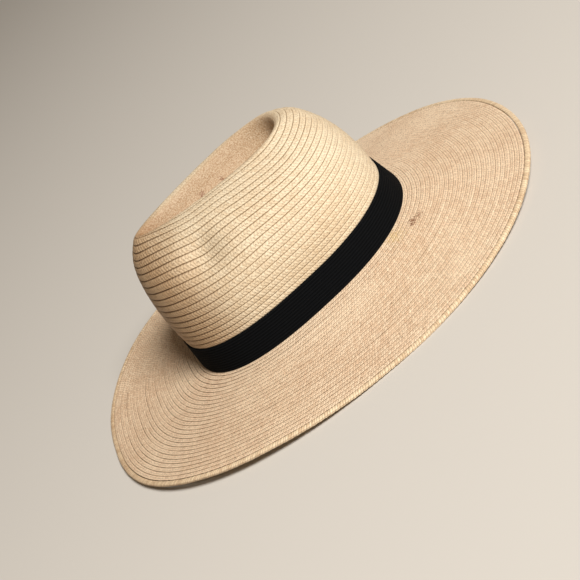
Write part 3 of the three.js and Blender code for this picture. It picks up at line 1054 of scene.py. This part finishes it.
EDGE_LOOK = {
    "outwards": False,
    "Plait length": 2.0,
    "Slant": 1.8,
    "Lap width": 0.1,
    "Lap breaks": 0.5,
    "Middle line": 0.0,
    "Lap strength": 0.0,
    "Laps by the band": 0.0,
    "Furrow strength": 0.45,
    "Hole strength": 0.5,
    "Flecks": 0.3,
    "Shaded front range": (-0.2, -0.1),
    "Front lap shadow": 0.0,
    "Front lap shadow width": 0.0,
    "Front furrow shade": 0.0,
    "Mottling": 0.4,
    "Front painted shade": 0.3,
    "bump": 0.8,
    "relief": 0.0005,
    "gloss": 0.25,
}
BROWN = (0.2, 0.075, 0.03)
# Darker, browner tint painted on the front as shade
FRONT_SHADE_TINT = (0.66, 0.54, 0.44)
OCHRE = (0.62, 0.42, 0.13)
CREASE_STAINS = [
    {"place": (-0.0189, -0.0006, 0.1038), "radius": 0.002, "color": BROWN, "strength": 0.8},
    {"place": (-0.0169, -0.0183, 0.1053), "radius": 0.002, "color": BROWN, "strength": 0.85},
]
BRIM_STAINS = [
    {"place": (0.0705, 0.0834, 0.0198), "radius": 0.0034, "color": BROWN, "strength": 0.8},
    {"place": (0.0688, 0.0891, 0.0194), "radius": 0.0024, "color": BROWN, "strength": 0.75},
    {"place": (0.0737, 0.0809, 0.0195), "radius": 0.0022, "color": BROWN, "strength": 0.7},
    {"place": (0.0731, 0.066, 0.0212), "radius": 0.007, "color": OCHRE, "strength": 0.4},
]


def straw_look(base, straw, pale, shade, stains=(), dent=None):
    """A straw's look with the colours that a user chose."""
    return {**base, "Straw": straw, "Pale": pale, "Shade": shade, "stains": stains, "dent": dent}


class HAT_OT_crown(bpy.types.Operator):
    """Sews the crown from rows of braid"""

    bl_idname = "hat.crown"
    bl_label = "Crown"

    def execute(self, context):
        colours = context.scene.hat_colours
        straw, pale, dent = colours.crown_straw, colours.crown_pale, tuple(colours.dent)
        look = straw_look(CROWN_LOOK, straw, pale, colours.shade, CREASE_STAINS, dent)
        settle(sewn_crown(context.scene.hat_sizes), "crown", straw_material("crown_straw", look))
        return {"FINISHED"}


class HAT_OT_brim(bpy.types.Operator):
    """Sews the brim from rows of finer braid"""

    bl_idname = "hat.brim"
    bl_label = "Brim"

    def execute(self, context):
        colours = context.scene.hat_colours
        straw, pale = colours.brim_straw, colours.brim_pale
        look = straw_look(BRIM_LOOK, straw, pale, colours.shade, BRIM_STAINS)
        settle(sewn_brim(context.scene.hat_sizes), "brim", straw_material("brim_straw", look))
        return {"FINISHED"}


class HAT_OT_edge(bpy.types.Operator):
    """Lays the doubled braid round the brim's edge"""

    bl_idname = "hat.edge"
    bl_label = "Edge braid"

    def execute(self, context):
        colours = context.scene.hat_colours
        look = straw_look(EDGE_LOOK, colours.edge_straw, colours.edge_pale, colours.shade)
        settle(edge_braid(context.scene.hat_sizes), "brim_edge", straw_material("edge_straw", look))
        return {"FINISHED"}


class HAT_OT_band(bpy.types.Operator):
    """Stretches the ribbed elastic band round the crown's foot"""

    bl_idname = "hat.band"
    bl_label = "Band"

    def execute(self, context):
        sizes, colour = context.scene.hat_sizes, context.scene.hat_colours.band
        band = ribbed_band(sizes)
        settle(band, "band", elastic_material("black_elastic", colour, sizes.band_ribs))
        return {"FINISHED"}


class HAT_OT_stage(bpy.types.Operator):
    """Sets the pale floor, the soft light and the camera"""

    bl_idname = "hat.stage"
    bl_label = "Stage"

    def execute(self, context):
        stage = context.scene.hat_stage
        clear_selection()
        bpy.ops.mesh.primitive_plane_add(size=FLOOR_SIZE, location=(0, 0, 0))
        floor = context.active_object
        floor.name = "floor"
        floor.data.materials.append(floor_material(context.scene.hat_colours.floor))
        bpy.ops.object.light_add(type="AREA", location=stage.key_place)
        key = context.active_object
        key.name = "key_light"
        key.data.shape = "DISK"
        key.data.size = KEY_SIZE
        key.data.energy = stage.key_power
        key.data.color = KEY_COLOUR
        aim = -key.location
        key.rotation_euler = aim.to_track_quat("-Z", "Y").to_euler()
        world = context.scene.world or bpy.data.worlds.new("soft_sky")
        context.scene.world = world
        world.use_nodes = True
        background = world.node_tree.nodes["Background"]
        background.inputs["Color"].default_value = SKY_COLOUR
        background.inputs["Strength"].default_value = stage.sky
        context.scene.view_settings.view_transform = "Standard"
        bpy.ops.object.camera_add(location=stage.camera_place)
        camera = context.active_object
        camera.name = "photo_view"
        sight = stage.camera_target - camera.location
        camera.rotation_euler = sight.to_track_quat("-Z", "Y").to_euler()
        camera.rotation_euler.rotate_axis("Z", -stage.camera_roll)
        camera.data.sensor_width = 36  # millimetres
        camera.data.lens = stage.camera_lens
        camera.data.clip_end = 100
        context.scene.camera = camera
        return {"FINISHED"}


class HAT_PT_panel(bpy.types.Panel):
    """Lists the steps that make the hat"""

    bl_label = "Straw Hat"
    bl_idname = "HAT_PT_panel"
    bl_space_type = "VIEW_3D"
    bl_region_type = "UI"
    bl_category = "Straw Hat"

    def draw(self, context):
        column = self.layout.column()
        for step in STEPS:
            column.operator(step.bl_idname)
        for settings in (context.scene.hat_sizes, context.scene.hat_colours, context.scene.hat_stage):
            box = self.layout.box()
            for key in settings.__annotations__:
                box.prop(settings, key)


STEPS = (HAT_OT_stage, HAT_OT_crown, HAT_OT_brim, HAT_OT_edge, HAT_OT_band)
CLASSES = (HatSizes, HatColours, HatStage, *STEPS, HAT_PT_panel)


def register():
    for cls in CLASSES:
        bpy.utils.register_class(cls)
    bpy.types.Scene.hat_sizes = bpy.props.PointerProperty(type=HatSizes)
    bpy.types.Scene.hat_colours = bpy.props.PointerProperty(type=HatColours)
    bpy.types.Scene.hat_stage = bpy.props.PointerProperty(type=HatStage)


def unregister():
    del bpy.types.Scene.hat_sizes
    del bpy.types.Scene.hat_colours
    del bpy.types.Scene.hat_stage
    for cls in reversed(CLASSES):
        bpy.utils.unregister_class(cls)


def main():
    register()
    bpy.ops.hat.stage()
    bpy.ops.hat.crown()
    bpy.ops.hat.brim()
    bpy.ops.hat.edge()
    bpy.ops.hat.band()


if __name__ == "__main__":
    main()
